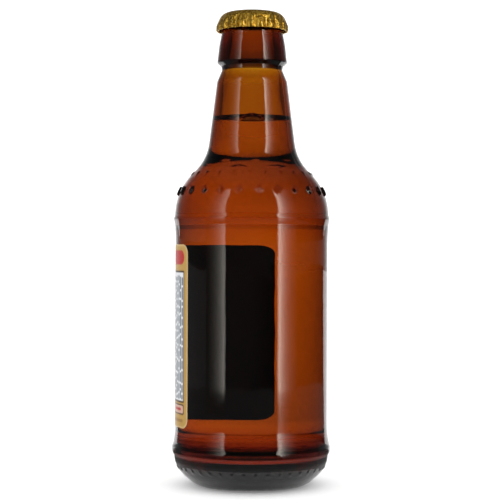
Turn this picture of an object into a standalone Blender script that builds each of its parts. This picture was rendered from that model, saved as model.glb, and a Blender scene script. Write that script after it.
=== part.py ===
"""Returnable brown glass beer bottle, filled, shut with a crown cap and wearing one wrap label.

Run it with blender --background --python part.py, or from Blender's text editor.
The bottle stands on z = 0 with its axis on +Z, and the middle of its label faces -Y.
"""
import math

import bmesh
import bpy
from mathutils import Matrix, Vector

MM = 0.001
MERGE = 0.00001
COLLECTION_NAME = "beer_bottle"

# Driving dimensions of the glass, in millimetres
BODY_RADIUS = 30.45
WALL = 2.6
BEAD_RADIUS = 31.3
BEAD_HEIGHT = 106.2
HEEL_RING_RADIUS = 31.75
HEEL_RING_BOTTOM = 13.6
HEEL_RING_TOP = 16.0
PANEL_BOTTOM = 21.0
HEEL_RADIUS = 30.6
HEEL_HEIGHT = 9.7
REST_RADIUS = 17.8
REST_WIDTH = 2.2
PUSH_UP = 4.2
FLOOR_HEIGHT = 8.2
FLOOR_MIDDLE = 11.4
SHOULDER_RADIUS = 30.4
SHOULDER_HEIGHT = 117.8
NECK_FOOT_RADIUS = 18.0
NECK_FOOT_HEIGHT = 130.5
NECK_TOP_RADIUS = 14.1
NECK_TOP_HEIGHT = 161.4
NECK_WALL = 3.2
GROOVE_RADIUS = 12.15
GROOVE_HEIGHT = 165.9
COLLAR_RADIUS = 14.05
COLLAR_HEIGHT = 168.9
COLLAR_WAIST_RADIUS = 13.25
COLLAR_WAIST_HEIGHT = 176.0
MOUTH_RADIUS = 8.1
FINISH_RADIUS = 12.75
FINISH_HEIGHT = 183.8
LIP_RADIUS = 11.4
LIP_HEIGHT = 188.2

# Raised lozenges round the shoulder
STUD_COUNT = 24
STUD_HEIGHT = 117.3
STUD_LENGTH = 5.0
STUD_WIDTH = 3.4
STUD_RELIEF = 0.9
STUD_ROOT = 1.0
STUD_TAPER = 0.62

# Beer, up to its level in the neck, with the rim that climbs the glass
BEER_LEVEL = 144.6
MENISCUS_RISE = 2.6
MENISCUS_WIDTH = 3.0
CLEARANCE = 0.3

# Crown cap
CAP_TOP = 189.1
CAP_SHEET = 0.35
CAP_FLAT_RADIUS = 8.6
CAP_EDGE_RADIUS = 13.05
CAP_EDGE_HEIGHT = 186.9
CAP_HEM_RADIUS = 14.1
CAP_HEM_HEIGHT = 181.6
FLUTE_COUNT = 21
FLUTE_DEPTH = 0.36
FLUTE_STEPS = 4

# Label, wrapped over the front of the body
LABEL_SPREAD = math.radians(135.2)
LABEL_BOTTOM = 24.0
LABEL_TOP = 96.1
LABEL_CORNER = 3.8
LABEL_GAP = 0.15
LABEL_THICKNESS = 0.15

# Fineness of the mesh
TURN_STEPS = 36
ARC_STEP = math.radians(32.0)
BROAD_FILLET = 15.0
BROAD_ARC_STEP = math.radians(15.0)
LABEL_COLUMNS = 20
LABEL_CORNER_STEPS = 4


def clear_scene():
    """Empties the scene, so that the script starts from nothing."""
    for found in list(bpy.data.objects):
        bpy.data.objects.remove(found, do_unlink=True)
    for collection in list(bpy.data.collections):
        bpy.data.collections.remove(collection)


def new_collection(name):
    collection = bpy.data.collections.new(name)
    bpy.context.scene.collection.children.link(collection)
    return collection


def material(name, colour, roughness, metallic=0.0, alpha=1.0):
    made = bpy.data.materials.new(name)
    made.use_nodes = True
    made.diffuse_color = (*colour, alpha)
    shader = made.node_tree.nodes["Principled BSDF"]
    shader.inputs["Base Color"].default_value = (*colour, 1.0)
    shader.inputs["Roughness"].default_value = roughness
    shader.inputs["Metallic"].default_value = metallic
    shader.inputs["Alpha"].default_value = alpha
    return made


def rounded_outline(corners):
    """Turns corners of (radius, height, fillet) into points, with each fillet as an arc."""
    points = []
    for index, (radius, height, fillet) in enumerate(corners):
        here = Vector((radius, height))
        if fillet == 0.0:
            points.append(here)
            continue
        back = (Vector(corners[index - 1][:2]) - here).normalized()
        ahead = (Vector(corners[index + 1][:2]) - here).normalized()
        half = back.angle(ahead) / 2
        start = here + back * fillet / math.tan(half)
        centre = here + (back + ahead).normalized() * fillet / math.sin(half)
        sweep = math.pi - 2 * half
        turn = math.copysign(sweep, back.x * ahead.y - back.y * ahead.x) * -1
        steps = math.ceil(sweep / (BROAD_ARC_STEP if fillet > BROAD_FILLET else ARC_STEP))
        for step in range(steps + 1):
            arm = start - centre
            arm.rotate(Matrix.Rotation(turn * step / steps, 2))
            points.append(centre + arm)
    return points


def turned(name, outline, steps, collection):
    """Makes a turned object: the outline, given in millimetres, swept once round the axis."""
    mesh = bpy.data.meshes.new(name)
    vertices = [(point.x * MM, 0.0, point.y * MM) for point in outline]
    edges = [(index, index + 1) for index in range(len(vertices) - 1)]
    mesh.from_pydata(vertices, edges, [])
    made = bpy.data.objects.new(name, mesh)
    collection.objects.link(made)
    screw = made.modifiers.new("turn", "SCREW")
    screw.axis = "Z"
    screw.angle = math.tau
    screw.steps = steps
    screw.render_steps = steps
    screw.use_merge_vertices = True
    screw.merge_threshold = MERGE
    return made


def apply_modifiers(made):
    """Replaces an object's mesh by its evaluated mesh, and drops the modifiers."""
    evaluated = made.evaluated_get(bpy.context.evaluated_depsgraph_get())
    mesh = bpy.data.meshes.new_from_object(evaluated)
    made.modifiers.clear()
    made.data = mesh
    return mesh


def shade(made):
    made.data.shade_smooth()
    made.data.set_sharp_from_angle(angle=math.radians(40))


def outer_corners():
    """The outside of the glass, from the lip down to the ring that it stands on."""
    return [
        (LIP_RADIUS, LIP_HEIGHT, 2.2),
        (FINISH_RADIUS, FINISH_HEIGHT + 0.8, 0.8),
        (FINISH_RADIUS, FINISH_HEIGHT - 0.8, 0.6),
        (GROOVE_RADIUS - 0.1, FINISH_HEIGHT - 1.5, 0.6),
        (COLLAR_WAIST_RADIUS, COLLAR_WAIST_HEIGHT, 12.0),
        (COLLAR_RADIUS, COLLAR_HEIGHT, 0.8),
        (GROOVE_RADIUS + 0.2, GROOVE_HEIGHT + 1.6, 0.6),
        (GROOVE_RADIUS, GROOVE_HEIGHT, 1.5),
        (NECK_TOP_RADIUS, NECK_TOP_HEIGHT, 4.5),
        (NECK_FOOT_RADIUS, NECK_FOOT_HEIGHT, 19.0),
        (SHOULDER_RADIUS, SHOULDER_HEIGHT, 24.0),
        (BEAD_RADIUS - 0.5, BEAD_HEIGHT + 1.9, 2.0),
        (BEAD_RADIUS, BEAD_HEIGHT + 0.2, 1.2),
        (BODY_RADIUS + 0.3, BEAD_HEIGHT - 2.3, 2.5),
        (BODY_RADIUS, BEAD_HEIGHT - 8.0, 60.0),
        (BODY_RADIUS, PANEL_BOTTOM + 0.8, 32.0),
        (HEEL_RING_RADIUS - 0.5, HEEL_RING_TOP + 1.0, 5.0),
        (HEEL_RING_RADIUS, HEEL_RING_TOP - 0.2, 2.0),
        (HEEL_RING_RADIUS, HEEL_RING_BOTTOM + 0.2, 1.0),
        (HEEL_RING_RADIUS - 0.75, HEEL_RING_BOTTOM - 1.2, 1.2),
        (HEEL_RADIUS, HEEL_HEIGHT, 6.0),
        (HEEL_RADIUS - 2.5, HEEL_HEIGHT - 4.5, 10.0),
        (REST_RADIUS + 5.0, 0.6, 8.0),
        (REST_RADIUS, 0.0, 0.0),
    ]


def inner_corners():
    """The inside of the glass, from the middle of its floor up to the mouth."""
    inside = BODY_RADIUS - WALL
    return [
        (0.0, FLOOR_MIDDLE, 0.0),
        (8.5, FLOOR_MIDDLE - 0.4, 12.0),
        (17.0, FLOOR_HEIGHT - 0.4, 12.0),
        (inside - 0.6, FLOOR_HEIGHT + 1.2, 8.0),
        (inside, PANEL_BOTTOM + 2.0, 12.0),
        (inside, SHOULDER_HEIGHT - 1.1, 23.0),
        (NECK_FOOT_RADIUS - NECK_WALL, NECK_FOOT_HEIGHT - 0.8, 22.0),
        (NECK_TOP_RADIUS - NECK_WALL, NECK_TOP_HEIGHT, 8.0),
        (MOUTH_RADIUS, COLLAR_WAIST_HEIGHT + 3.0, 12.0),
        (MOUTH_RADIUS, LIP_HEIGHT, 0.8),
    ]


def push_up_corners():
    """The hollow under the base, from the ring that it stands on in to the axis."""
    return [
        (REST_RADIUS - REST_WIDTH, 0.0, 0.0),
        (REST_RADIUS - REST_WIDTH - 3.0, PUSH_UP - 2.2, 6.0),
        (0.0, PUSH_UP, 0.0),
    ]


def outline_at(outline, height):
    """Finds where the outline falls past one height: its radius there, and its direction."""
    for upper, lower in zip(outline[:-1], outline[1:]):
        if upper.y >= height > lower.y:
            share = (upper.y - height) / (upper.y - lower.y)
            return upper.lerp(lower, share).x, (lower - upper).normalized()
    raise ValueError("height is outside the outline")


def stud(place, angle, slope):
    """Makes one lozenge, a four-sided frustum that stands square to the shoulder."""
    body = bmesh.new()
    depth = STUD_RELIEF + STUD_ROOT
    bmesh.ops.create_cone(
        body, cap_ends=True, segments=4, radius1=1.0, radius2=STUD_TAPER, depth=depth
    )
    scaled = Matrix.Diagonal((STUD_WIDTH / 2, STUD_LENGTH / 2, 1.0, 1.0))
    lifted = Matrix.Translation((0.0, 0.0, depth / 2 - STUD_ROOT))
    across = Vector((0.0, 1.0, 0.0))
    up_slope = Vector((-slope.x, 0.0, -slope.y))
    outward = across.cross(up_slope)
    facing = Matrix((across, up_slope, outward)).transposed().to_4x4()
    moved = Matrix.Translation((place, 0.0, STUD_HEIGHT))
    spun = Matrix.Rotation(angle, 4, "Z")
    size = Matrix.Scale(MM, 4)
    body.transform(size @ spun @ moved @ facing @ lifted @ scaled)
    mesh = bpy.data.meshes.new("stud")
    body.to_mesh(mesh)
    body.free()
    return bpy.data.objects.new("stud", mesh)


def build_bottle(collection):
    """Turns the hollow glass and joins the ring of lozenges to its shoulder."""
    outline = rounded_outline(inner_corners() + outer_corners() + push_up_corners())
    bottle = turned("bottle", outline, TURN_STEPS, collection)
    apply_modifiers(bottle)

    studs = new_collection("studs")
    place, slope = outline_at(outline, STUD_HEIGHT)
    for index in range(STUD_COUNT):
        studs.objects.link(stud(place, math.tau * (index + 0.5) / STUD_COUNT, slope))
    union = bottle.modifiers.new("studs", "BOOLEAN")
    union.operation = "UNION"
    union.operand_type = "COLLECTION"
    union.collection = studs
    union.solver = "EXACT"
    apply_modifiers(bottle)
    for made in list(studs.objects):
        bpy.data.objects.remove(made, do_unlink=True)
    bpy.data.collections.remove(studs)

    bottle.data.materials.append(material("amber_glass", (0.30, 0.09, 0.006), 0.05, alpha=0.55))
    shade(bottle)
    return bottle


def build_beer(collection):
    """Turns the beer that fills the glass up to its level, a little clear of the wall."""
    inner = rounded_outline(inner_corners()[:-1] + [(MOUTH_RADIUS, LIP_HEIGHT, 0.0)])
    wall = []
    for before, here, after in zip(inner[:-2], inner[1:-1], inner[2:]):
        along = (after - before).normalized()
        inward = Vector((-along.y, along.x))
        wall.append(here + inward * CLEARANCE)
    rim_height = BEER_LEVEL + MENISCUS_RISE
    below = [point for point in wall if point.y < rim_height]
    next_up = wall[len(below)]
    share = (rim_height - below[-1].y) / (next_up.y - below[-1].y)
    rim = below[-1].lerp(next_up, share)
    surface = [Vector((0.0, BEER_LEVEL)), Vector((rim.x - MENISCUS_WIDTH, BEER_LEVEL))]
    surface.append(Vector((rim.x - 0.3 * MENISCUS_WIDTH, BEER_LEVEL + 0.3 * MENISCUS_RISE)))
    floor = Vector((0.0, FLOOR_MIDDLE + CLEARANCE))
    outline = surface + [rim] + below[::-1] + [floor]
    beer = turned("beer", outline, TURN_STEPS, collection)
    apply_modifiers(beer)
    beer.data.materials.append(material("beer", (0.60, 0.25, 0.03), 0.05, alpha=0.7))
    shade(beer)
    return beer


def flute_share(radius, height):
    """How far the flutes have grown: 0 on the dome, 1 at the hem."""
    if radius < CAP_FLAT_RADIUS:
        return 0.0
    fall = (CAP_EDGE_HEIGHT + 0.6 - height) / (CAP_EDGE_HEIGHT + 0.6 - CAP_HEM_HEIGHT - 2.0)
    fall = min(max(fall, 0.0), 1.0)
    return fall * fall * (3.0 - 2.0 * fall)


def build_cap(collection):
    """Turns the cap's sheet, then presses the flutes into its skirt."""
    sheet = CAP_SHEET
    outline = rounded_outline([
        (0.0, CAP_TOP, 0.0),
        (CAP_FLAT_RADIUS + 3.0, CAP_TOP, 4.2),
        (CAP_EDGE_RADIUS, CAP_EDGE_HEIGHT, 2.0),
        (CAP_HEM_RADIUS, CAP_HEM_HEIGHT + 2.0, 2.5),
        (CAP_HEM_RADIUS, CAP_HEM_HEIGHT, 0.0),
        (CAP_HEM_RADIUS - sheet, CAP_HEM_HEIGHT, 0.0),
        (CAP_HEM_RADIUS - sheet, CAP_HEM_HEIGHT + 2.0, 2.5),
        (CAP_EDGE_RADIUS - sheet, CAP_EDGE_HEIGHT - 0.2, 1.6),
        (CAP_FLAT_RADIUS + 2.8, CAP_TOP - sheet, 3.8),
        (0.0, CAP_TOP - sheet, 0.0),
    ])
    cap = turned("crown_cap", outline, FLUTE_COUNT * FLUTE_STEPS, collection)
    mesh = apply_modifiers(cap)
    for vertex in mesh.vertices:
        radius = math.hypot(vertex.co.x, vertex.co.y)
        if radius < MERGE:
            continue
        angle = math.atan2(vertex.co.y, vertex.co.x)
        share = flute_share(radius / MM, vertex.co.z / MM)
        shift = FLUTE_DEPTH * MM * share * math.cos(FLUTE_COUNT * angle)
        vertex.co.x *= 1.0 + shift / radius
        vertex.co.y *= 1.0 + shift / radius
    cap.data.materials.append(material("gold_metal", (0.62, 0.42, 0.10), 0.30, metallic=1.0))
    shade(cap)
    return cap


def label_outline():
    """The flat label's outline, a rectangle with round corners, as points (across, height)."""
    reach = LABEL_SPREAD / 2 * BODY_RADIUS
    corners = [
        (reach, LABEL_BOTTOM, -90.0),
        (reach, LABEL_TOP, 0.0),
        (-reach, LABEL_TOP, 90.0),
        (-reach, LABEL_BOTTOM, 180.0),
    ]
    points = []
    for across, height, first in corners:
        centre_x = across - math.copysign(LABEL_CORNER, across)
        low = height == LABEL_BOTTOM
        centre_z = height + LABEL_CORNER if low else height - LABEL_CORNER
        for step in range(LABEL_CORNER_STEPS + 1):
            turn = math.radians(first + 90.0 * step / LABEL_CORNER_STEPS)
            points.append((
                centre_x + LABEL_CORNER * math.cos(turn),
                centre_z + LABEL_CORNER * math.sin(turn),
            ))
    return points


def build_label(collection):
    """Cuts the flat label into columns, wraps it round the body and thickens it."""
    body = bmesh.new()
    ring = [body.verts.new((across * MM, 0.0, height * MM)) for across, height in label_outline()]
    body.faces.new(ring)
    reach = LABEL_SPREAD / 2 * BODY_RADIUS - LABEL_CORNER
    for column in range(LABEL_COLUMNS + 1):
        across = -reach + 2 * reach * column / LABEL_COLUMNS
        everything = body.verts[:] + body.edges[:] + body.faces[:]
        bmesh.ops.bisect_plane(
            body, geom=everything, plane_co=(across * MM, 0.0, 0.0), plane_no=(1.0, 0.0, 0.0),
            dist=MERGE,
        )
    inner_radius = BODY_RADIUS + LABEL_GAP
    for vertex in body.verts:
        turn = vertex.co.x / MM / BODY_RADIUS
        vertex.co.x = inner_radius * MM * math.sin(turn)
        vertex.co.y = -inner_radius * MM * math.cos(turn)
    bmesh.ops.recalc_face_normals(body, faces=body.faces)
    mesh = bpy.data.meshes.new("label")
    body.to_mesh(mesh)
    body.free()
    label = bpy.data.objects.new("label", mesh)
    collection.objects.link(label)
    outward = mesh.polygons[0].normal.y < 0.0
    solidify = label.modifiers.new("thickness", "SOLIDIFY")
    solidify.thickness = LABEL_THICKNESS * MM
    solidify.offset = 1.0 if outward else -1.0
    apply_modifiers(label)
    label.data.materials.append(material("label_paper", (0.62, 0.38, 0.07), 0.45))
    shade(label)
    return label


def main():
    clear_scene()
    collection = new_collection(COLLECTION_NAME)
    build_bottle(collection)
    build_beer(collection)
    build_cap(collection)
    build_label(collection)


main()
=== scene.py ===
"""Looks of a filled brown beer bottle: smooth glass, beer, crown cap, label, lights and camera.

The pieces have the sizes of the part's own solids, and are turned and wrapped much finer.
Azimuth 0 is the middle of the label, on -Y, and azimuth grows towards +X.
Sizes are in millimetres up to the camera's, and in metres for the studio round it.
"""

import math

import bpy
import numpy as np
from mathutils import Matrix, Vector


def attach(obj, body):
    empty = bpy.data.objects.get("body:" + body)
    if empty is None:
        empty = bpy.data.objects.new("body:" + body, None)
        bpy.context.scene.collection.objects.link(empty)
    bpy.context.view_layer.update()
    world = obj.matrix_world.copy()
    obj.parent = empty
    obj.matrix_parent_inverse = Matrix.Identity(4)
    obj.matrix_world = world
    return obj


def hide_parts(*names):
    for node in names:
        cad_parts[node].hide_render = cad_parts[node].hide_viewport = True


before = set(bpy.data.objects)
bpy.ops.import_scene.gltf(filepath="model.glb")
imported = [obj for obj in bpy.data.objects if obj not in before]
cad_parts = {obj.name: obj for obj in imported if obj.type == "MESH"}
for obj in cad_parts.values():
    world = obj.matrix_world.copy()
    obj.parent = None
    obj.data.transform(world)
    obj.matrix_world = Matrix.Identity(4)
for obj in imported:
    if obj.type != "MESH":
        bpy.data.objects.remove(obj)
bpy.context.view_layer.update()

MM = 0.001

# Fineness of the turned pieces: arcs by the size of their fillet, columns, longest spans, and how
# far above and below the lozenges and dots the glass stays fine
ARC_STEP = math.radians(7.5)
SMALL_FILLET = 1.3
SMALL_ARC_STEP = math.radians(15.0)
GLASS_COLUMNS = 336
BEER_COLUMNS = 256
COLUMNS_PER_FLUTE = 24
STUD_SPAN = 0.4
HEEL_SPAN = 0.65
FINE_SPAN = 1.0
OUTSIDE_SPAN = 2.8
INSIDE_SPAN = 3.5
BEER_SPAN = 6.0
BESIDE_STUDS = 2.9
BESIDE_SHOULDER_DOTS = 1.0
BESIDE_HEEL_DOTS = 1.2

# Glass, as in the part's source
BODY_RADIUS = 30.45
WALL = 2.6
BEAD_RADIUS = 31.3
BEAD_HEIGHT = 106.2
HEEL_RING_RADIUS = 31.75
HEEL_RING_BOTTOM = 13.6
HEEL_RING_TOP = 16.0
PANEL_BOTTOM = 21.0
HEEL_RADIUS = 30.6
HEEL_HEIGHT = 9.7
REST_RADIUS = 17.8
REST_WIDTH = 2.2
PUSH_UP = 4.2
FLOOR_HEIGHT = 8.2
FLOOR_MIDDLE = 11.4
SHOULDER_RADIUS = 30.4
SHOULDER_HEIGHT = 117.8
NECK_FOOT_RADIUS = 18.0
NECK_FOOT_HEIGHT = 130.5
NECK_TOP_RADIUS = 14.1
NECK_TOP_HEIGHT = 161.4
NECK_WALL = 3.2
GROOVE_RADIUS = 12.15
GROOVE_HEIGHT = 165.9
COLLAR_RADIUS = 14.05
COLLAR_HEIGHT = 168.9
COLLAR_WAIST_RADIUS = 13.25
COLLAR_WAIST_HEIGHT = 176.0
MOUTH_RADIUS = 8.1
FINISH_RADIUS = 12.75
FINISH_HEIGHT = 183.8
LIP_RADIUS = 11.4
LIP_HEIGHT = 188.2

# Raised lozenges round the shoulder, and the finer relief that only the smooth glass carries. A
# slope is how much longer the glass runs there than it rises
STUD_COUNT = 24
STUD_HEIGHT = 117.3
STUD_LENGTH = 5.0
STUD_WIDTH = 3.4
STUD_RELIEF = 0.9
STUD_FOOT = 0.8
STUD_TAPER = 0.62
STUD_SKIRT = 0.15
STUD_SLOPE = 1.12
DOT_RELIEF = 0.35
DOT_RADIUS = 0.9
DOT_SOFTNESS = 0.5
SHOULDER_DOT_HEIGHT = 124.5
SHOULDER_DOT_SLOPE = 1.4
HEEL_DOT_COUNT = 40
HEEL_DOT_HEIGHT = 7.6
HEEL_DOT_SLOPE = 1.1
SEAM_AZIMUTH = math.radians(179.0)
SEAM_RELIEF = 0.08
SEAM_WIDTH = 0.28
SEAM_COLUMNS = np.radians([-1.25, -0.75, -0.35, 0.35, 0.75, 1.25])
SEAM_TO_LABEL = 3.0
KNURL_COUNT = 72
KNURL_DEPTH = 0.3
KNURL_TOP = 1.6
KNURL_STEEPNESS = 1.6

# Slow swell of the blown glass: turns round the axis, wave length up it, start and share. The
# margin tells points of the inside from those of the outside
SWELLS = [(2, 61.0, 0.4, 0.30), (5, -38.0, 2.1, 0.30), (9, 27.0, 4.0, 0.22), (14, -19.0, 1.2, 0.16),
          (23, 13.0, 5.3, 0.10), (31, -9.0, 3.1, 0.06)]
INSIDE_SWELL = 0.09
OUTSIDE_SWELL = 0.022
SWELL_BOTTOM = 1.0
INSIDE_MARGIN = 0.8

# How the glass bends light and takes it in: the tint and density of its absorption, per metre
GLASS_IOR = 1.52
GLASS_TINT = (0.846, 0.667, 0.0)
GLASS_DENSITY = 1300.0

# Beer
BEER_IOR = 1.345
BEER_TINT = (0.93, 0.35, 0.10)
BEER_DENSITY = 22.0
BEER_LEVEL = 144.6
MENISCUS_RISE = 2.6
MENISCUS_REACH = 1.7
SURFACE_STEPS = 28
SURFACE_REACH = 10.0
INTO_GLASS = 0.12

# Bubbles on the beer: turn from the camera in degrees, place from the axis, half width, height
BUBBLES = [(0.0, 7.9, 4.4, 3.3), (-27.0, 10.2, 1.5, 1.5), (24.0, 10.4, 1.2, 1.1),
           (41.0, 10.2, 1.5, 1.2), (155.0, 10.0, 1.9, 1.7), (-150.0, 10.3, 1.6, 1.5),
           (-92.0, 10.4, 1.3, 1.2)]
BUBBLES_TO_RIM = 0.4

# Crown cap
CAP_TOP = 189.1
CAP_SHEET = 0.35
CAP_FLAT_RADIUS = 8.6
CAP_EDGE_RADIUS = 13.05
CAP_EDGE_HEIGHT = 186.9
CAP_HEM_RADIUS = 14.1
CAP_HEM_HEIGHT = 181.6
FLUTE_COUNT = 21
FLUTE_DEPTH = 0.36
FLUTE_TOP = CAP_EDGE_HEIGHT + 0.6
FLUTE_FULL_HEIGHT = CAP_HEM_HEIGHT + 2.0
FLUTE_SHARPNESS = 1.4
CAP_GOLD = (0.95, 0.62, 0.11)
CAP_BROWN = (0.50, 0.25, 0.02)

# Label, which reaches a little into the glass
LABEL_SPREAD = math.radians(135.2)
LABEL_HALF_WIDTH = LABEL_SPREAD / 2 * BODY_RADIUS
LABEL_BOTTOM = 24.0
LABEL_TOP = 96.1
LABEL_CORNER = 3.8
LABEL_THICKNESS = 0.13
LABEL_INTO_GLASS = 0.03
LABEL_BACK = (0.02, 0.02, 0.02)
LABEL_EDGE = (0.75, 0.68, 0.5)
CORNER_COLUMNS = 14

# Its print, in linear colours and millimetres
PRINT_STEP = 0.25
PRINT_SOFTNESS = 0.25
PRINT_GOLD = (0.50, 0.30, 0.07)
PRINT_RIM = (0.58, 0.39, 0.15)
PRINT_OCHRE = (0.36, 0.19, 0.03)
PRINT_STRAW = (0.78, 0.56, 0.20)
PRINT_CREAM = (0.80, 0.72, 0.52)
PRINT_BROWN = (0.07, 0.035, 0.012)
PRINT_RED = (0.48, 0.022, 0.02)
PRINT_PINK = (0.62, 0.38, 0.28)
PRINT_WHITE = (0.74, 0.76, 0.78)
PRINT_SLATE = (0.06, 0.09, 0.13)
PRINT_BOTTOM = 26.3
PRINT_TOP = 93.8

# Print on the label's front: the frame, the lozenges, the oval's rings, the ribbon and the ears
FRAME_HALF_WIDTH = 18.6
LOZENGE_LEVELS = (88.9, 31.2)
LOZENGE_STEP = 4.3
OVAL_MIDDLE = (0.0, 61.0)
OVAL_STRETCH = 6.0
OVAL_RINGS = [(17.6, PRINT_BROWN), (17.1, PRINT_STRAW), (16.2, PRINT_RED), (14.2, PRINT_CREAM)]
OVAL_LINE = 13.4
RIBBON_HALF_WIDTH = 17.4
RIBBON_BOTTOM = 42.0
RIBBON_TOP = 49.6
RIBBON_BOW = 0.010
EAR_ASIDE = 1.4
EAR_BOTTOM = 45.0
EAR_STEM = 9.0
GRAIN_COUNT = 12
GRAIN_STEP = 1.7
GRAIN_ASIDE = 0.95
AWN_LENGTH = 4.6

# Print on its ends: how far in it starts and stops, and the bottom, top and corner of each field
END_NEAR = 2.6
END_FAR = 15.4
PILL = (88.2, PRINT_TOP, 2.8)
WORDS_PANEL = (34.0, 85.8, 0.4)
WORDS_COLUMNS = 4.3 + 1.62 * np.arange(7)
WORDS_BOTTOM = 35.3
WORDS_TOP = 84.6
BADGE = (29.3, 33.4, 0.3)
BADGE_OVAL = ((9.0, 31.4), 6.6, 4.6)

# Camera, with the photo's 500 pixel frame
FRAME_PIXELS = 500.0
FOCAL_PIXELS = 1444.0
CAMERA_DISTANCE = 580.0
CAMERA_HEIGHT = 93.2
CAMERA_AZIMUTH = math.radians(122.2)
HORIZON_ROW = 252.0
AXIS_COLUMN = 251.6
LEAN = math.radians(0.18)
SENSOR = 36.0

# Backdrop and ceiling, as stops of (share, grey): the share is the sine of the elevation in those
# for heights and the ceiling, and else 0 for away from the camera and 1 for towards it
SEEN_THROUGH_HEIGHTS = [(0.13, 1.0), (0.2, 0.55), (0.28, 0.25), (0.4, 0.1), (0.55, 0.0)]
MIRRORED_HEIGHTS = [(0.15, 1.0), (0.3, 0.75), (0.5, 0.35), (0.7, 0.1), (0.85, 0.0)]
CEILING_STOPS = [(0.2, 0.02), (0.4, 0.03), (0.7, 0.03), (0.9, 0.10)]
MIRRORED_STOPS = [(0.035, 1.0), (0.075, 0.5), (0.125, 0.2), (0.2, 0.1), (0.3, 0.05), (0.85, 0.05)]
SEEN_THROUGH_STOPS = [(0.0, 1.09), (0.03, 0.95), (0.09, 0.75), (0.15, 0.55), (0.25, 0.3),
                      (0.75, 0.3), (0.85, 0.5)]
BACKDROP_SHIFT = math.radians(2.0)
PLAIN_WHITE = 1.4

# Two tall curved lights beside the camera. A sweep is how one fades along the floor, as
# (distance, share) from its foot inwards
SOFTBOX_COLUMNS = 40
SOFTBOX_DISTANCE = 0.45
SOFTBOX_HEIGHT = 0.60
SOFTBOX_START = math.radians(37.0)
SOFTBOX_EDGE = math.radians(3.0)
SOFTBOX_SPREAD = math.radians(32.0)
SOFTBOX_LEAST = 0.05
SOFTBOX_FOOT = 0.001
SWEEP_LEAST = 0.12
SOFTBOX_COLOUR = (1.0, 0.95, 0.86, 1.0)
LEFT_PEAK = 4.7
LEFT_EVEN = 0.0
LEFT_FADE = math.radians(8.0)
LEFT_SWEEP = [(0.45, 1.0), (0.42, 0.75), (0.38, 0.3), (0.33, 0.05), (0.3, 0.0)]
RIGHT_PEAK = 6.6
RIGHT_EVEN = math.radians(5.0)
RIGHT_FADE = math.radians(6.5)
RIGHT_SWEEP = [(0.45, 1.0), (0.41, 0.6), (0.34, 0.3), (0.2, 0.16), (0.12, 0.1), (0.1, 0.0)]

# Floor
FLOOR_SIZE = 6.0
FLOOR_GREY = 0.84
FLOOR_GLOW = 0.18

# Card just over the floor that only reflections see, painted shade on the floor as the glass and
# cap reflect it: its grey by distance, and the grey added far off, by the turn from the camera in
# degrees
CARD_HEIGHT = 0.0005
MIRRORED_CARD = [(0.036, 0.42), (0.05, 0.22), (0.07, 0.09), (0.45, 0.09), (0.46, 0.0), (8.5, 0.0)]
MIRRORED_CARD_FAR = [(-138.0, 0.06), (-105.0, 0.13), (-68.0, 0.13), (-40.0, 0.06), (0.0, 0.05),
                     (30.0, 0.02)]
MIRRORED_CARD_SPREAD = math.radians(138.0)
MIRRORED_CARD_STEPS = 36

# Card that only light through glass sees, with painted light and shade: its grey by the turn in
# degrees from its brightest direction, a painted falloff of light to both sides, the share of it by
# distance, with painted shade at the bottle's foot and a brighter painted ring just beyond, and how
# far it takes on the backdrop's grey
SEEN_THROUGH_CARD = [(0.0, 0.85), (25.0, 0.62), (55.0, 0.40), (80.0, 0.27), (120.0, 0.23)]
SEEN_THROUGH_CARD_RINGS = (0.033, 0.05, 0.065, 0.08, 0.1, 0.13, 0.2, 0.3, 0.5, 1.0, 2.0, 4.0, 8.5)
SEEN_THROUGH_CARD_STEPS = 72
SEEN_THROUGH_CARD_SHIFT = math.radians(22.0)
SEEN_THROUGH_CARD_NEAR = [(0.033, 0.1), (0.06, 0.6), (0.085, 1.17), (0.13, 1.17), (0.16, 0.82),
                          (0.3, 0.9), (0.4, 1.0)]
SEEN_THROUGH_CARD_LIFT = [(0.3, 0.0), (4.0, 1.0)]


def rounded_outline(corners, longest):
    """Turns corners of (radius, height, fillet) into points, with arcs at the fillets.

    longest(point) gives the longest span allowed near a point.
    """
    points = []
    for index, (radius, height, fillet) in enumerate(corners):
        here = Vector((radius, height))
        if fillet == 0.0:
            points.append(here)
            continue
        back = (Vector(corners[index - 1][:2]) - here).normalized()
        ahead = (Vector(corners[index + 1][:2]) - here).normalized()
        half = back.angle(ahead) / 2
        start = here + back * fillet / math.tan(half)
        centre = here + (back + ahead).normalized() * fillet / math.sin(half)
        sweep = math.pi - 2 * half
        turn = -math.copysign(sweep, back.x * ahead.y - back.y * ahead.x)
        arc_step = ARC_STEP if fillet > SMALL_FILLET else SMALL_ARC_STEP
        steps = max(2, math.ceil(sweep / arc_step))
        for step in range(steps + 1):
            arm = start - centre
            arm.rotate(Matrix.Rotation(turn * step / steps, 2))
            points.append(centre + arm)
    filled = [points[0]]
    for before, after in zip(points[:-1], points[1:]):
        length = (after - before).length
        parts = max(1, math.ceil(length / longest(before.lerp(after, 0.5))))
        filled += [before.lerp(after, part / parts) for part in range(1, parts + 1)]
    return filled


def new_object(name, data):
    made = bpy.data.objects.new(name, data)
    bpy.context.scene.collection.objects.link(made)
    return made


def polar(azimuth, distance, height):
    """A place at an azimuth and a distance from the axis."""
    return (distance * math.sin(azimuth), -distance * math.cos(azimuth), height)


def even_azimuths(columns):
    return np.arange(columns) * math.tau / columns


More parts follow.
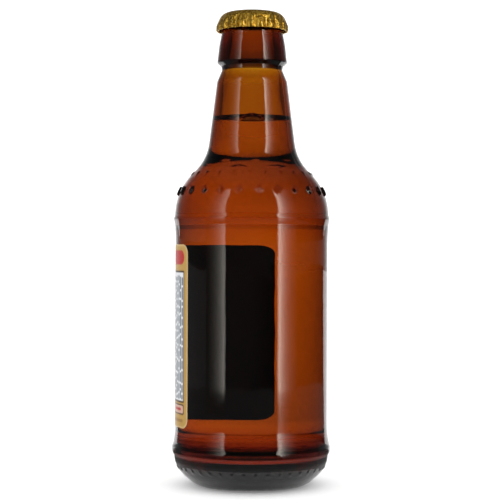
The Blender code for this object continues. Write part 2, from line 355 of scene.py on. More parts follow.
def turned(name, outline, azimuths, relief=None, bend_of=None):
    """Turns an outline round the axis. relief(azimuths, point) lifts the surface, in mm.

    bend_of(index) gives how much light bends at the band that follows an outline point.
    """
    columns = len(azimuths)
    vertices = []
    rings = []
    for index, point in enumerate(outline):
        if point.x < 1e-6:
            rings.append(len(vertices))
            vertices.append((0.0, 0.0, point.y * MM))
            continue
        before = outline[max(index - 1, 0)]
        after = outline[min(index + 1, len(outline) - 1)]
        along = (after - before).normalized()
        lift = np.zeros(columns) if relief is None else relief(azimuths, point)
        radius = point.x - along.y * lift
        height = point.y + along.x * lift
        rings.append(len(vertices))
        ring = np.stack([radius * np.sin(azimuths), -radius * np.cos(azimuths), height], axis=1)
        vertices += (ring * MM).tolist()
    faces = []
    bends = []
    for index in range(len(outline) - 1):
        if bend_of is not None:
            bends += [bend_of(index)] * columns
        upper = rings[index]
        lower = rings[index + 1]
        for column in range(columns):
            right = (column + 1) % columns
            if outline[index].x < 1e-6:
                faces.append((upper, lower + column, lower + right))
            elif outline[index + 1].x < 1e-6:
                faces.append((upper + column, lower, upper + right))
            else:
                faces.append((upper + column, lower + column, lower + right, upper + right))
    mesh = bpy.data.meshes.new(name)
    mesh.from_pydata(vertices, [], faces)
    if bends:
        mesh.attributes.new("bend", "FLOAT", "FACE").data.foreach_set("value", bends)
    mesh.shade_smooth()
    return new_object(name, mesh)


def smooth_rise(value):
    value = np.clip(value, 0.0, 1.0)
    return value * value * (3.0 - 2.0 * value)


def nearest_repeat(azimuths, count, shift=0.0):
    """The angle from each azimuth to the nearest of count places, with shift in places."""
    place = azimuths * count / math.tau - shift
    return (place - np.round(place)) * math.tau / count


def unevenness(azimuths, height):
    """The slow swell of blown glass, from about -1 to 1, with waves of 7 to 40 millimetres."""
    swell = np.zeros(len(azimuths))
    for turns, length, start, share in SWELLS:
        swell += share * np.sin(turns * azimuths + math.tau * height / length + start)
    return swell


def raised_dots(azimuths, point, count, height, slope):
    """How far a ring of round dots lifts the glass."""
    across = nearest_repeat(azimuths, count) * point.x
    up = (point.y - height) * slope
    return DOT_RELIEF * smooth_rise((DOT_RADIUS - np.hypot(across, up)) / DOT_SOFTNESS)


def raised_studs(azimuths, point):
    """How far the ring of lozenges lifts the glass."""
    across = nearest_repeat(azimuths, STUD_COUNT, 0.5) * point.x
    up = (point.y - STUD_HEIGHT) * STUD_SLOPE
    reach = np.abs(across) / (STUD_WIDTH / 2) + abs(up) / (STUD_LENGTH / 2)
    return STUD_RELIEF * smooth_rise((STUD_FOOT - reach) / (STUD_FOOT - STUD_TAPER) + STUD_SKIRT)


def glass_relief(azimuths, point):
    """What departs from the turned glass: its swell, lozenges, dots, the mould seam, the knurl."""
    if lies_inside(point):
        share = smooth_rise((point.y - PANEL_BOTTOM) / PANEL_BOTTOM)
        return INSIDE_SWELL * share * unevenness(azimuths, point.y)
    lift = OUTSIDE_SWELL * unevenness(azimuths + 1.0, point.y)
    if point.y < SWELL_BOTTOM:
        lift[:] = 0.0
    lift += raised_studs(azimuths, point)
    lift += raised_dots(azimuths, point, STUD_COUNT, SHOULDER_DOT_HEIGHT, SHOULDER_DOT_SLOPE)
    lift += raised_dots(azimuths, point, HEEL_DOT_COUNT, HEEL_DOT_HEIGHT, HEEL_DOT_SLOPE)
    beside_label = LABEL_BOTTOM - SEAM_TO_LABEL < point.y < LABEL_TOP + SEAM_TO_LABEL
    if point.y > HEEL_HEIGHT and not beside_label:
        across = nearest_repeat(azimuths - SEAM_AZIMUTH, 2) * point.x
        lift += SEAM_RELIEF * np.exp(-((across / SEAM_WIDTH) ** 2))
    if point.y < KNURL_TOP:
        bars = 0.5 - 0.5 * np.cos(azimuths * KNURL_COUNT)
        share = smooth_rise((KNURL_TOP - point.y) / KNURL_TOP * KNURL_STEEPNESS)
        lift -= KNURL_DEPTH * bars * share
    return lift


def outer_radius(height):
    """The radius of the outside of the glass at one height."""
    for upper, lower in zip(OUTSIDE[:-1], OUTSIDE[1:]):
        if upper.y >= height >= lower.y and upper.y > lower.y:
            return upper.lerp(lower, (upper.y - height) / (upper.y - lower.y)).x
    return REST_RADIUS


def lies_inside(point):
    """Whether a point of the glass lies on its inside or under its base."""
    return point.x < outer_radius(point.y) - INSIDE_MARGIN


def outer_corners():
    """The outside of the glass, from the lip down to the ring that it stands on."""
    return [
        (LIP_RADIUS, LIP_HEIGHT, 2.2),
        (FINISH_RADIUS, FINISH_HEIGHT + 0.8, 0.8),
        (FINISH_RADIUS, FINISH_HEIGHT - 0.8, 0.6),
        (GROOVE_RADIUS - 0.1, FINISH_HEIGHT - 1.5, 0.6),
        (COLLAR_WAIST_RADIUS, COLLAR_WAIST_HEIGHT, 12.0),
        (COLLAR_RADIUS, COLLAR_HEIGHT, 0.8),
        (GROOVE_RADIUS + 0.2, GROOVE_HEIGHT + 1.6, 0.6),
        (GROOVE_RADIUS, GROOVE_HEIGHT, 1.5),
        (NECK_TOP_RADIUS, NECK_TOP_HEIGHT, 4.5),
        (NECK_FOOT_RADIUS, NECK_FOOT_HEIGHT, 19.0),
        (SHOULDER_RADIUS, SHOULDER_HEIGHT, 24.0),
        (BEAD_RADIUS - 0.5, BEAD_HEIGHT + 1.9, 2.0),
        (BEAD_RADIUS, BEAD_HEIGHT + 0.2, 1.2),
        (BODY_RADIUS + 0.3, BEAD_HEIGHT - 2.3, 2.5),
        (BODY_RADIUS, BEAD_HEIGHT - 8.0, 60.0),
        (BODY_RADIUS, PANEL_BOTTOM + 0.8, 32.0),
        (HEEL_RING_RADIUS - 0.5, HEEL_RING_TOP + 1.0, 5.0),
        (HEEL_RING_RADIUS, HEEL_RING_TOP - 0.2, 2.0),
        (HEEL_RING_RADIUS, HEEL_RING_BOTTOM + 0.2, 1.0),
        (HEEL_RING_RADIUS - 0.75, HEEL_RING_BOTTOM - 1.2, 1.2),
        (HEEL_RADIUS, HEEL_HEIGHT, 6.0),
        (HEEL_RADIUS - 2.5, HEEL_HEIGHT - 4.5, 10.0),
        (REST_RADIUS + 5.0, 0.6, 8.0),
        (REST_RADIUS, 0.0, 0.0),
    ]


def inner_corners():
    """The inside of the glass, from the middle of its floor up to the mouth."""
    inside = BODY_RADIUS - WALL
    return [
        (0.0, FLOOR_MIDDLE, 0.0),
        (8.5, FLOOR_MIDDLE - 0.4, 12.0),
        (17.0, FLOOR_HEIGHT - 0.4, 12.0),
        (inside - 0.6, FLOOR_HEIGHT + 1.2, 8.0),
        (inside, PANEL_BOTTOM + 2.0, 12.0),
        (inside, SHOULDER_HEIGHT - 1.1, 23.0),
        (NECK_FOOT_RADIUS - NECK_WALL, NECK_FOOT_HEIGHT - 0.8, 22.0),
        (NECK_TOP_RADIUS - NECK_WALL, NECK_TOP_HEIGHT, 8.0),
        (MOUTH_RADIUS, COLLAR_WAIST_HEIGHT + 3.0, 12.0),
        (MOUTH_RADIUS, LIP_HEIGHT, 0.8),
    ]


def push_up_corners():
    """The hollow under the base, from the ring that it stands on in to the axis."""
    return [
        (REST_RADIUS - REST_WIDTH, 0.0, 0.0),
        (REST_RADIUS - REST_WIDTH - 3.0, PUSH_UP - 2.2, 6.0),
        (0.0, PUSH_UP, 0.0),
    ]


def relief_span(point):
    """The longest span of the glass outline that still carries the relief near a point."""
    if lies_inside(point):
        return INSIDE_SPAN
    if abs(point.y - STUD_HEIGHT) < BESIDE_STUDS:
        return STUD_SPAN
    if abs(point.y - SHOULDER_DOT_HEIGHT) < BESIDE_SHOULDER_DOTS:
        return STUD_SPAN
    if point.y < HEEL_DOT_HEIGHT + BESIDE_HEEL_DOTS:
        return HEEL_SPAN
    return OUTSIDE_SPAN


OUTSIDE = rounded_outline([(0.0, LIP_HEIGHT, 0.0)] + outer_corners(), lambda point: FINE_SPAN)


def shader_of(material):
    return material.node_tree.nodes["Principled BSDF"]


def new_material(name, colour, roughness, metallic=0.0):
    material = bpy.data.materials.new(name)
    material.use_nodes = True
    shader = shader_of(material)
    shader.inputs["Base Color"].default_value = (*colour, 1.0)
    shader.inputs["Roughness"].default_value = roughness
    shader.inputs["Metallic"].default_value = metallic
    return material


def blended(tree, blend, factor, first, second):
    """Blends two colours; the factor is a number or an output of the tree."""
    node = tree.nodes.new("ShaderNodeMix")
    node.data_type = "RGBA"
    node.blend_type = blend
    for name, value in (("Factor", factor), ("A", first), ("B", second)):
        if isinstance(value, bpy.types.NodeSocket):
            tree.links.new(value, node.inputs[name])
        else:
            node.inputs[name].default_value = value
    return node.outputs["Result"]


def noise_bump(material, scale, strength, distance):
    """Gives a surface a fine unevenness, with scale per metre and distance in metres."""
    tree = material.node_tree
    place = tree.nodes.new("ShaderNodeTexCoord")
    noise = tree.nodes.new("ShaderNodeTexNoise")
    noise.inputs["Scale"].default_value = scale
    noise.inputs["Detail"].default_value = 2.0
    bump = tree.nodes.new("ShaderNodeBump")
    bump.inputs["Strength"].default_value = strength
    bump.inputs["Distance"].default_value = distance
    tree.links.new(place.outputs["Object"], noise.inputs["Vector"])
    tree.links.new(noise.outputs["Fac"], bump.inputs["Height"])
    tree.links.new(bump.outputs["Normal"], shader_of(material).inputs["Normal"])
    return noise


def clear_material(name, ior, tint, density):
    """A clear substance that takes in light along its depth.

    Where glass and beer touch, light bends by the ratio of the two, which the mesh carries.
    """
    material = new_material(name, (1.0, 1.0, 1.0), 0.0)
    shader = shader_of(material)
    shader.inputs["Transmission Weight"].default_value = 1.0
    shader.inputs["IOR"].default_value = ior
    tree = material.node_tree
    bend = tree.nodes.new("ShaderNodeAttribute")
    bend.attribute_name = "bend"
    tree.links.new(bend.outputs["Fac"], shader.inputs["IOR"])
    absorption = tree.nodes.new("ShaderNodeVolumeAbsorption")
    absorption.inputs["Color"].default_value = (*tint, 1.0)
    absorption.inputs["Density"].default_value = density
    output = tree.nodes["Material Output"]
    tree.links.new(absorption.outputs["Volume"], output.inputs["Volume"])
    return material


def build_bottle():
    corners = inner_corners() + outer_corners() + push_up_corners()
    outline = rounded_outline(corners, relief_span)
    rim_height = BEER_LEVEL + MENISCUS_RISE
    rim = next(index for index, point in enumerate(outline) if point.y > rim_height)
    low = outline[rim - 1]
    outline.insert(rim, low.lerp(outline[rim], (rim_height - low.y) / (outline[rim].y - low.y)))

    def bend_of(index):
        return GLASS_IOR / BEER_IOR if index < rim else GLASS_IOR

    seams = np.concatenate([SEAM_AZIMUTH + SEAM_COLUMNS, SEAM_AZIMUTH + math.pi + SEAM_COLUMNS])
    azimuths = np.concatenate([even_azimuths(GLASS_COLUMNS), seams % math.tau])
    azimuths = np.unique(np.round(azimuths, 6))
    bottle = turned("glass_bottle", outline, azimuths, glass_relief, bend_of)
    glass = clear_material("amber_glass", GLASS_IOR, GLASS_TINT, GLASS_DENSITY)
    noise_bump(glass, scale=60.0, strength=0.10, distance=0.0005)
    bottle.data.materials.append(glass)
    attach(bottle, "root")
    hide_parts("bottle")


def bubble_relief(azimuths, point):
    """The domes of the bubbles that float on the beer."""
    lift = np.zeros(len(azimuths))
    if not BEER_LEVEL <= point.y < BEER_LEVEL + MENISCUS_RISE - BUBBLES_TO_RIM:
        return lift
    for turn, place, half_width, height in BUBBLES:
        away = azimuths - CAMERA_AZIMUTH - math.radians(turn)
        across = point.x * np.sin(away) / half_width
        along = (point.x * np.cos(away) - place) / half_width
        reach = across ** 2 + along ** 2
        lift = np.maximum(lift, height * np.sqrt(np.maximum(1.0 - reach, 0.0)))
    return lift


def build_beer():
    """The beer, turned from the glass's own inside and reaching just into the wall."""
    corners = inner_corners()[:-1] + [(MOUTH_RADIUS, LIP_HEIGHT, 0.0)]
    inner = rounded_outline(corners, lambda point: BEER_SPAN)
    wall = [inner[0] + Vector((0.0, -INTO_GLASS))]
    for before, here, after in zip(inner[:-2], inner[1:-1], inner[2:]):
        along = (after - before).normalized()
        wall.append(here - Vector((-along.y, along.x)) * INTO_GLASS)
    rim_height = BEER_LEVEL + MENISCUS_RISE
    below = [point for point in wall if point.y < rim_height]
    next_up = wall[len(below)]
    share = (rim_height - below[-1].y) / (next_up.y - below[-1].y)
    rim = below[-1].lerp(next_up, share)
    surface = [Vector((0.0, BEER_LEVEL))]
    for step in range(1, SURFACE_STEPS + 1):
        away = SURFACE_REACH * (1.0 - step / SURFACE_STEPS)
        rise = MENISCUS_RISE * math.exp(-away / MENISCUS_REACH)
        surface.append(Vector((rim.x - INTO_GLASS - away, BEER_LEVEL + rise)))
    outline = surface + [rim] + below[::-1]

    def bend_of(index):
        return BEER_IOR if index < len(surface) else 1.0

    beer = turned("beer_fill", outline, even_azimuths(BEER_COLUMNS), bubble_relief, bend_of)
    beer.data.materials.append(clear_material("beer", BEER_IOR, BEER_TINT, BEER_DENSITY))
    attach(beer, "root")
    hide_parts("beer")


def flute_relief(azimuths, radius, height):
    """How far the skirt's flutes push the sheet out or in, in millimetres."""
    share = smooth_rise((FLUTE_TOP - height) / (FLUTE_TOP - FLUTE_FULL_HEIGHT))
    share[radius < CAP_FLAT_RADIUS] = 0.0
    wave = np.sin(FLUTE_COUNT * azimuths / 2) ** 2
    return FLUTE_DEPTH * share * (1.0 - 2.0 * wave ** FLUTE_SHARPNESS)


def cap_material():
    """Gold lacquer over tin, with fine specks of a browner gold."""
    material = new_material("gold_metal", CAP_GOLD, 0.26, metallic=0.92)
    specks = noise_bump(material, scale=1500.0, strength=1.0, distance=0.0003)
    tree = material.node_tree
    spread = tree.nodes.new("ShaderNodeMapRange")
    spread.inputs["From Min"].default_value = 0.42
    spread.inputs["From Max"].default_value = 0.60
    tree.links.new(specks.outputs["Fac"], spread.inputs["Value"])
    gold = blended(tree, "MIX", spread.outputs["Result"], (*CAP_BROWN, 1.0), (*CAP_GOLD, 1.0))
    tree.links.new(gold, shader_of(material).inputs["Base Color"])
    return material


def build_cap():
    sheet = CAP_SHEET
    corners = [
        (0.0, CAP_TOP, 0.0),
        (CAP_FLAT_RADIUS + 3.0, CAP_TOP, 4.2),
        (CAP_EDGE_RADIUS, CAP_EDGE_HEIGHT, 2.0),
        (CAP_HEM_RADIUS, CAP_HEM_HEIGHT + 2.0, 2.5),
        (CAP_HEM_RADIUS, CAP_HEM_HEIGHT, 0.15),
        (CAP_HEM_RADIUS - sheet, CAP_HEM_HEIGHT, 0.15),
        (CAP_HEM_RADIUS - sheet, CAP_HEM_HEIGHT + 2.0, 2.5),
        (CAP_EDGE_RADIUS - sheet, CAP_EDGE_HEIGHT - 0.2, 1.6),
        (CAP_FLAT_RADIUS + 2.8, CAP_TOP - sheet, 3.8),
        (0.0, CAP_TOP - sheet, 0.0),
    ]
    outline = rounded_outline(corners, lambda point: FINE_SPAN)
    cap = turned("gold_cap", outline, even_azimuths(FLUTE_COUNT * COLUMNS_PER_FLUTE))
    places = np.empty(len(cap.data.vertices) * 3)
    cap.data.vertices.foreach_get("co", places)
    places = places.reshape(-1, 3)
    radius = np.hypot(places[:, 0], places[:, 1])
    azimuths = np.arctan2(places[:, 0], -places[:, 1])
    shift = flute_relief(azimuths, radius / MM, places[:, 2] / MM)
    grown = 1.0 + shift * MM / np.maximum(radius, 1e-5)
    places[:, 0] *= grown
    places[:, 1] *= grown
    cap.data.vertices.foreach_set("co", places.ravel())
    cap.data.materials.append(cap_material())
    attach(cap, "root")
    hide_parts("crown_cap")


def box(across, height, left, right, low, high, corner):
    """The distance outside a rectangle with round corners, below 0 inside it."""
    beside = np.abs(across - (left + right) / 2) - (right - left) / 2 + corner
    above = np.abs(height - (low + high) / 2) - (high - low) / 2 + corner
    outside = np.hypot(np.maximum(beside, 0.0), np.maximum(above, 0.0))
    return outside + np.minimum(np.maximum(beside, above), 0.0) - corner


def oval(across, height, centre, half_width, half_height, turn=0.0):
    """Roughly the distance outside an oval, turned anticlockwise, below 0 inside it."""
    x = across - centre[0]
    y = height - centre[1]
    along = x * math.cos(turn) + y * math.sin(turn)
    aside = y * math.cos(turn) - x * math.sin(turn)
    ratio = np.hypot(along / half_width, aside / half_height)
    return (ratio - 1.0) * min(half_width, half_height)


def stroke(across, height, start, end, half_width):
    """The distance outside a straight line with round ends, below 0 inside it."""
    run = Vector(end) - Vector(start)
    x = across - start[0]
    y = height - start[1]
    share = np.clip((x * run.x + y * run.y) / run.length_squared, 0.0, 1.0)
    return np.hypot(x - share * run.x, y - share * run.y) - half_width


def paint(colours, colour, distance):
    """Lays a colour over the print where the distance is below 0, with a soft edge."""
    cover = np.clip(0.5 - distance / PRINT_SOFTNESS, 0.0, 1.0)[:, None]
    colours += (np.array(colour) - colours) * cover


def paint_words(colours, across, height, columns, low, high, seed):
    """Lays columns of short bars that stand for lines of small print read sideways."""
    dice = np.random.default_rng(seed)
    for column in columns:
        top = high - dice.uniform(0.0, 1.5)
        while top > low + 1.0:
            length = min(dice.uniform(1.2, 5.0), top - low)
            bar = box(across, height, column - 0.5, column + 0.5, top - length, top, 0.2)
            paint(colours, PRINT_SLATE, bar)
            top -= length + 0.8


def paint_ear(colours, across, height, side):
    """Lays one ear of barley, a leaning stem with two rows of grains and long awns."""
    foot = (side * EAR_ASIDE, EAR_BOTTOM)
    for place in range(GRAIN_COUNT):
        rise = EAR_STEM + GRAIN_STEP * place
        lean = side * math.radians(6.0 + 0.6 * place)
        middle = (foot[0] + 0.9 * rise * math.sin(lean), foot[1] + rise * math.cos(lean))
        for row in (-1.0, 1.0):
            turn = math.pi / 2 - lean - row * math.radians(13.0)
            grain = (middle[0] + row * GRAIN_ASIDE, middle[1])
            tip = (grain[0] + AWN_LENGTH * math.cos(turn), grain[1] + AWN_LENGTH * math.sin(turn))
            paint(colours, PRINT_BROWN, stroke(across, height, grain, tip, 0.1))
            paint(colours, PRINT_BROWN, oval(across, height, grain, 1.5, 0.82, turn))
            paint(colours, PRINT_STRAW, oval(across, height, grain, 1.2, 0.55, turn))
    top = (foot[0] + side * 0.8, foot[1] + EAR_STEM + 0.5)
    paint(colours, PRINT_BROWN, stroke(across, height, foot, top, 0.3))


def paint_cartouche(colours, across, height):
    """Lays the front's oval, with two ears of barley over a plain ribbon."""
    for half_width, colour in OVAL_RINGS:
        ring = oval(across, height, OVAL_MIDDLE, half_width, half_width + OVAL_STRETCH)
        paint(colours, colour, ring)
    line = oval(across, height, OVAL_MIDDLE, OVAL_LINE, OVAL_LINE + OVAL_STRETCH)
    paint(colours, PRINT_GOLD, np.abs(line) - 0.18)
    for side in (-1.0, 1.0):
        paint_ear(colours, across, height, side)
    bowed = height + RIBBON_BOW * across ** 2
    ends = (-RIBBON_HALF_WIDTH, RIBBON_HALF_WIDTH)
    band = box(across, bowed, *ends, RIBBON_BOTTOM, RIBBON_TOP, 0.3)
    paint(colours, PRINT_BROWN, band)
    paint(colours, PRINT_RED, band + 0.45)
    paint(colours, PRINT_STRAW, np.abs(band + 1.25) - 0.17)


def paint_side(colours, across, height, side):
    """Lays what both ends of the label carry: a pill, a panel of small print and a badge."""
    inward = LABEL_HALF_WIDTH - side * across
    paint(colours, PRINT_RED, box(inward, height, END_NEAR, END_FAR, *PILL))
    panel = box(inward, height, END_NEAR, END_FAR, *WORDS_PANEL)
    paint(colours, PRINT_BROWN, panel)
    paint(colours, PRINT_WHITE, panel + 0.75)
    seed = 4 if side > 0.0 else 9
    paint_words(colours, inward, height, WORDS_COLUMNS, WORDS_BOTTOM, WORDS_TOP, seed)
    badge = box(inward, height, END_NEAR, END_FAR, *BADGE)
    badge = np.maximum(badge, oval(inward, height, *BADGE_OVAL))
    paint(colours, PRINT_BROWN, badge)
    paint(colours, PRINT_PINK, badge + 0.5)
    paint(colours, PRINT_RED, box(inward, height, 5.4, 12.6, 30.9, 31.9, 0.3))
    foot = box(inward, height, END_NEAR + 1.0, END_FAR - 1.0, PRINT_BOTTOM, PRINT_BOTTOM + 1.2, 0.3)
    paint(colours, PRINT_OCHRE, foot)


def print_colours(across, height):
    """The label's print: a golden field with a pale rim, two end panels and an oval between."""
    colours = np.tile(np.array(PRINT_RIM), (len(across), 1))
    sides = (-LABEL_HALF_WIDTH, LABEL_HALF_WIDTH)
    rim = box(across, height, *sides, LABEL_BOTTOM, LABEL_TOP, LABEL_CORNER)
    paint(colours, PRINT_GOLD, rim + 0.75)
    sides = (-FRAME_HALF_WIDTH, FRAME_HALF_WIDTH)
    border = box(across, height, *sides, PRINT_BOTTOM, PRINT_TOP, 2.0)
    paint(colours, PRINT_OCHRE, np.abs(border + 0.2) - 0.2)
    paint(colours, PRINT_OCHRE, np.abs(border + 1.1) - 0.1)
    for place in range(-3, 4):
        for level in LOZENGE_LEVELS:
            size = 1.35 - 0.16 * abs(place)
            slant = np.abs(across - LOZENGE_STEP * place) + np.abs(height - level) * 0.8
            paint(colours, PRINT_RED if place % 2 == 0 else PRINT_BROWN, slant - size)
    paint_cartouche(colours, across, height)
    for side in (-1.0, 1.0):
        paint_side(colours, across, height, side)
    return colours


def label_columns():
    """How far across the label its columns stand, and how far its corners cut each one."""
    straight = LABEL_HALF_WIDTH - LABEL_CORNER
    turns = math.pi / 2 * np.arange(CORNER_COLUMNS) / CORNER_COLUMNS
    reach = straight + LABEL_CORNER * np.cos(turns)
    inset = LABEL_CORNER * (1.0 - np.sin(turns))
    count = math.ceil(2 * straight / PRINT_STEP)
    middle = np.linspace(straight, -straight, count + 1)
    across = np.concatenate([reach, middle, -reach[::-1]])
    insets = np.concatenate([inset, np.zeros(count + 1), inset[::-1]])
    return across[::-1], insets


def build_label():
    """The label: a rounded rectangle wrapped round the glass, with a thin edge.

    Of its material slots, 0 is the print, 1 the back and 2 the edge.
    """
    across, insets = label_columns()
    rows = math.ceil((LABEL_TOP - LABEL_BOTTOM) / PRINT_STEP)
    columns = len(across)
    outer = BODY_RADIUS + LABEL_THICKNESS - LABEL_INTO_GLASS
    inner = BODY_RADIUS - LABEL_INTO_GLASS
    low = LABEL_BOTTOM + insets[:, None]
    high = LABEL_TOP - insets[:, None]
    heights = low + (high - low) * np.arange(rows + 1) / rows
    places = np.repeat(across, rows + 1)
    back_heights = np.concatenate([low, high], axis=1).ravel()
    back_places = np.repeat(across, 2)
    vertices = []
    for radius, x, z in ((outer, places, heights.ravel()), (inner, back_places, back_heights)):
        azimuths = x / BODY_RADIUS
        wrapped = np.stack([radius * np.sin(azimuths), -radius * np.cos(azimuths), z], axis=1)
        vertices += (wrapped * MM).tolist()
    first_back = columns * (rows + 1)
    faces = []
    slots = []
    for column in range(columns - 1):
        for row in range(rows):
            a = column * (rows + 1) + row
            b = a + rows + 1
            faces.append((a, b, b + 1, a + 1))
            slots.append(0)
        a = column * (rows + 1)
        b = a + rows + 1
        c = first_back + 2 * column
        faces.append((c, c + 1, c + 3, c + 2))
        faces.append((a, c, c + 2, b))
        faces.append((b + rows, c + 3, c + 1, a + rows))
        slots += [1, 2, 2]
    for front, back in ((0, first_back), (first_back - rows - 1, len(vertices) - 2)):
        side = list(range(front, front + rows + 1)) + [back + 1, back]
        faces.append(side[::-1] if front == 0 else side)
        slots.append(2)
    mesh = bpy.data.meshes.new("paper_label")
    mesh.from_pydata(vertices, [], faces)
    mesh.polygons.foreach_set("material_index", slots)
    mesh.shade_smooth()
    mesh.set_sharp_from_angle(angle=math.radians(40))
    colours = np.ones((len(vertices), 4))
    colours[:first_back, :3] = print_colours(places, heights.ravel())
    layer = mesh.color_attributes.new("print", "FLOAT_COLOR", "POINT")
    layer.data.foreach_set("color", colours.ravel())
    label = new_object("paper_label", mesh)
    mesh.materials.append(print_material())
    mesh.materials.append(new_material("label_back", LABEL_BACK, 0.6))
    mesh.materials.append(new_material("label_edge", LABEL_EDGE, 0.6))
    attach(label, "root")
    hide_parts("label")


def print_material():
    """Coated paper: the print, slightly mottled, with the paper's own fine unevenness."""
    material = new_material("label_print", PRINT_GOLD, 0.38)
    shader = shader_of(material)
    tree = material.node_tree
    printed = tree.nodes.new("ShaderNodeVertexColor")
    printed.layer_name = "print"
    fibres = noise_bump(material, scale=2600.0, strength=0.25, distance=0.00005)
    mottle = tree.nodes.new("ShaderNodeMapRange")
    mottle.inputs["To Min"].default_value = 0.74
    mottle.inputs["To Max"].default_value = 0.92
    tree.links.new(fibres.outputs["Fac"], mottle.inputs["Value"])
    mixed = tree.nodes.new("ShaderNodeVectorMath")
    mixed.operation = "SCALE"
    tree.links.new(printed.outputs["Color"], mixed.inputs["Vector"])
    tree.links.new(mottle.outputs["Result"], mixed.inputs["Scale"])
    tree.links.new(mixed.outputs["Vector"], shader.inputs["Base Color"])
    return material


def build_floor():
    """A plain pale floor, lit a little from below like a photographer's light table."""
    size = FLOOR_SIZE
    mesh = bpy.data.meshes.new("floor")
    corners = [(-size, -size, 0.0), (size, -size, 0.0), (size, size, 0.0), (-size, size, 0.0)]
    mesh.from_pydata(corners, [], [(0, 1, 2, 3)])
    floor = new_object("floor", mesh)
    material = new_material("floor", (FLOOR_GREY, FLOOR_GREY, FLOOR_GREY), 0.8)
    shader = shader_of(material)
    shader.inputs["Specular IOR Level"].default_value = 0.0
    shader.inputs["Emission Color"].default_value = (1.0, 1.0, 1.0, 1.0)
    shader.inputs["Emission Strength"].default_value = FLOOR_GLOW
    mesh.materials.append(material)


def grey_ramp(tree, source, stops):
    """A grey that follows a value from 0 to 1 through stops of (value, grey)."""
    node = tree.nodes.new("ShaderNodeValToRGB")
    ramp = node.color_ramp
    while len(ramp.elements) < len(stops):
        ramp.elements.new(0.5)
    for element, (value, grey) in zip(ramp.elements, stops):
        element.position = value
        element.color = (grey, grey, grey, 1.0)
    tree.links.new(source, node.inputs["Fac"])
    return node.outputs["Color"]


def facing_share(tree, direction, azimuth):
    """How much a direction points to an azimuth, from 0 for away from it to 1 for right at it."""
    facing = tree.nodes.new("ShaderNodeVectorMath")
    facing.operation = "DOT_PRODUCT"
    facing.inputs[1].default_value = polar(azimuth, 1.0, 0.0)
    tree.links.new(direction, facing.inputs[0])
    share = tree.nodes.new("ShaderNodeMath")
    share.operation = "MULTIPLY_ADD"
    share.inputs[1].default_value = 0.5
    share.inputs[2].default_value = 0.5
    tree.links.new(facing.outputs["Value"], share.inputs[0])
    return share.outputs["Value"]


def build_world():
    """A white backdrop behind the bottle and a dark studio with a soft light high above.

    The camera and matt surfaces meet an even white instead, which keeps the floor plain.
    """
    world = bpy.data.worlds.new("studio")
    bpy.context.scene.world = world
    world.use_nodes = True
    world.cycles.sampling_method = "NONE"
    tree = world.node_tree
    direction = tree.nodes.new("ShaderNodeTexCoord").outputs["Generated"]
    split = tree.nodes.new("ShaderNodeSeparateXYZ")
    tree.links.new(direction, split.inputs["Vector"])
    height = split.outputs["Z"]
    straight = facing_share(tree, direction, CAMERA_AZIMUTH)
    askew = facing_share(tree, direction, CAMERA_AZIMUTH - BACKDROP_SHIFT)
    round_about = grey_ramp(tree, straight, MIRRORED_STOPS)
    upwards = grey_ramp(tree, height, MIRRORED_HEIGHTS)
    mirrored = blended(tree, "MULTIPLY", 1.0, round_about, upwards)
    round_about = grey_ramp(tree, askew, SEEN_THROUGH_STOPS)
    upwards = grey_ramp(tree, height, SEEN_THROUGH_HEIGHTS)
    seen_through = blended(tree, "MULTIPLY", 1.0, round_about, upwards)
    paths = tree.nodes.new("ShaderNodeLightPath")
    backdrop = blended(tree, "MIX", paths.outputs["Is Transmission Ray"], mirrored, seen_through)
    studio = blended(tree, "ADD", 1.0, backdrop, grey_ramp(tree, height, CEILING_STOPS))
    plain = tree.nodes.new("ShaderNodeMath")
    plain.operation = "MAXIMUM"
    tree.links.new(paths.outputs["Is Camera Ray"], plain.inputs[0])
    tree.links.new(paths.outputs["Is Diffuse Ray"], plain.inputs[1])
    white = (PLAIN_WHITE, PLAIN_WHITE, PLAIN_WHITE, 1.0)
    colour = blended(tree, "MIX", plain.outputs["Value"], studio, white)
    tree.links.new(colour, tree.nodes["Background"].inputs["Color"])


def build_softbox(side, peak, even, fade, sweep):
    """A tall curved light beside the camera, even from its near edge on and then fading out."""
    rows = [(SOFTBOX_DISTANCE, SOFTBOX_HEIGHT, 1.0)]
    rows += [(distance, SOFTBOX_FOOT, share) for distance, share in sweep]
    vertices = []
    glows = []
    for column in range(SOFTBOX_COLUMNS + 1):
        turn = SOFTBOX_SPREAD * column / SOFTBOX_COLUMNS
        azimuth = CAMERA_AZIMUTH + side * (SOFTBOX_START + turn)
        glow = peak * min(turn / SOFTBOX_EDGE, 1.0) * math.exp(-max(turn - even, 0.0) / fade)
        glow = max(glow, SOFTBOX_LEAST)
        for distance, height, share in rows:
            vertices.append(polar(azimuth, distance, height))
            glows.append(max(glow * share, SWEEP_LEAST if height == SOFTBOX_FOOT else 0.0))
    faces = []
    for column in range(SOFTBOX_COLUMNS):
        for row in range(len(rows) - 1):
            a = column * len(rows) + row
            faces.append((a, a + 1, a + len(rows) + 1, a + len(rows)))
    mesh = bpy.data.meshes.new("softbox")
    mesh.from_pydata(vertices, [], faces)
    mesh.attributes.new("glow", "FLOAT", "POINT").data.foreach_set("value", glows)
    softbox = new_object("softbox", mesh)
    material = new_material("softbox", (0.0, 0.0, 0.0), 1.0)
    shader = shader_of(material)
    shader.inputs["Specular IOR Level"].default_value = 0.0
    shader.inputs["Emission Color"].default_value = SOFTBOX_COLOUR
    glow = material.node_tree.nodes.new("ShaderNodeAttribute")
    glow.attribute_name = "glow"
    material.node_tree.links.new(glow.outputs["Fac"], shader.inputs["Emission Strength"])
    mesh.materials.append(material)
    softbox.visible_camera = False
    softbox.visible_diffuse = False
    softbox.visible_transmission = False
    softbox.visible_shadow = False


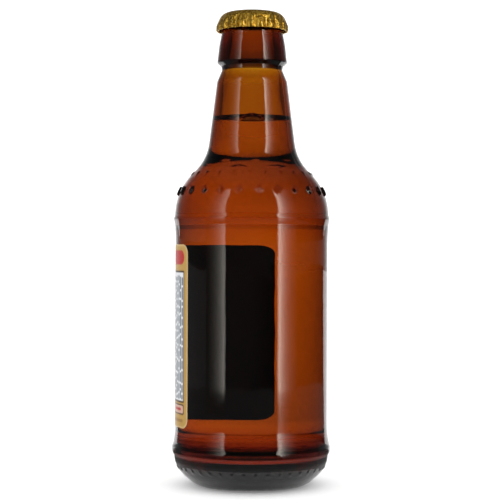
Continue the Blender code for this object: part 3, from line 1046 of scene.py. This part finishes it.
def build_card(name, distances, turns, grey_of):
    """A matt card just over the floor. grey_of(distance, turn) gives its grey.

    Turns are from the camera's azimuth.
    """
    vertices = []
    greys = []
    for turn in turns:
        for distance in distances:
            vertices.append(polar(CAMERA_AZIMUTH + turn, distance, CARD_HEIGHT))
            greys.append(grey_of(distance, turn))
    count = len(distances)
    faces = []
    for step in range(len(turns) - 1):
        for ring in range(count - 1):
            a = step * count + ring
            faces.append((a, a + 1, a + count + 1, a + count))
    mesh = bpy.data.meshes.new(name)
    mesh.from_pydata(vertices, [], faces)
    mesh.attributes.new("grey", "FLOAT", "POINT").data.foreach_set("value", greys)
    card = new_object(name, mesh)
    material = new_material(name, (0.1, 0.1, 0.1), 1.0)
    shader_of(material).inputs["Specular IOR Level"].default_value = 0.0
    grey = material.node_tree.nodes.new("ShaderNodeAttribute")
    grey.attribute_name = "grey"
    material.node_tree.links.new(grey.outputs["Fac"], shader_of(material).inputs["Base Color"])
    mesh.materials.append(material)
    card.visible_camera = False
    card.visible_diffuse = False
    card.visible_shadow = False
    return card


def build_mirrored_card():
    """A dark card over the floor round the camera's side, which only reflections see: painted shade
    on the floor in the reflections.
    """
    distances, greys = zip(*MIRRORED_CARD)
    spread = MIRRORED_CARD_SPREAD
    turns = np.linspace(-spread, spread, MIRRORED_CARD_STEPS + 1)

    def grey_of(distance, turn):
        grey = np.interp(distance, distances, greys)
        if distance > SOFTBOX_DISTANCE:
            grey += np.interp(math.degrees(turn), *zip(*MIRRORED_CARD_FAR))
        return grey

    card = build_card("mirrored_card", distances, turns, grey_of)
    card.visible_transmission = False


def build_seen_through_card():
    """The floor beyond the bottle, which only light through glass sees, with painted light and
    shade: darker to both sides and darkest at the bottle's foot.

    Far off it takes on the backdrop's own grey, so that no horizon shows.
    """
    away, greys = zip(*SEEN_THROUGH_CARD)
    shares, wall_greys = zip(*SEEN_THROUGH_STOPS)

    def grey_of(distance, turn):
        aside = abs((turn + SEEN_THROUGH_CARD_SHIFT) % math.tau - math.pi)
        # Painted light and shade: a falloff of light to both sides of the brightest direction,
        # times painted shade at the bottle's foot with a brighter painted ring just beyond
        near = np.interp(math.degrees(aside), away, greys)
        near *= np.interp(distance, *zip(*SEEN_THROUGH_CARD_NEAR))
        facing = 0.5 + 0.5 * math.cos(turn + BACKDROP_SHIFT)
        wall = np.interp(facing, shares, wall_greys) / PLAIN_WHITE
        ends, mixes = zip(*SEEN_THROUGH_CARD_LIFT)
        mix = np.interp(math.log(distance), np.log(ends), mixes)
        return near + (wall - near) * mix

    turns = np.linspace(0.0, math.tau, SEEN_THROUGH_CARD_STEPS + 1)
    card = build_card("seen_through_card", SEEN_THROUGH_CARD_RINGS, turns, grey_of)
    card.visible_glossy = False


def build_camera():
    camera = bpy.data.cameras.new("camera")
    camera.sensor_width = SENSOR
    camera.lens = FOCAL_PIXELS / FRAME_PIXELS * SENSOR
    camera.clip_start = 0.01
    camera.clip_end = 50.0
    made = new_object("camera", camera)
    place = Vector(polar(CAMERA_AZIMUTH, CAMERA_DISTANCE, CAMERA_HEIGHT)) * MM
    pitch = math.atan((HORIZON_ROW - FRAME_PIXELS / 2) / FOCAL_PIXELS)
    yaw = math.atan((AXIS_COLUMN - FRAME_PIXELS / 2) / FOCAL_PIXELS)
    level = Matrix.Rotation(math.pi / 2 + pitch, 4, "X")
    heading = Matrix.Rotation(CAMERA_AZIMUTH + yaw, 4, "Z")
    lean = Matrix.Rotation(LEAN, 4, "Z")
    made.matrix_world = Matrix.Translation(place) @ heading @ level @ lean
    bpy.context.scene.camera = made


bpy.context.scene.view_settings.view_transform = "Standard"
build_camera()
build_bottle()
build_beer()
build_cap()
build_label()
build_floor()
build_world()
build_softbox(-1.0, LEFT_PEAK, LEFT_EVEN, LEFT_FADE, LEFT_SWEEP)
build_softbox(1.0, RIGHT_PEAK, RIGHT_EVEN, RIGHT_FADE, RIGHT_SWEEP)
build_mirrored_card()
build_seen_through_card()
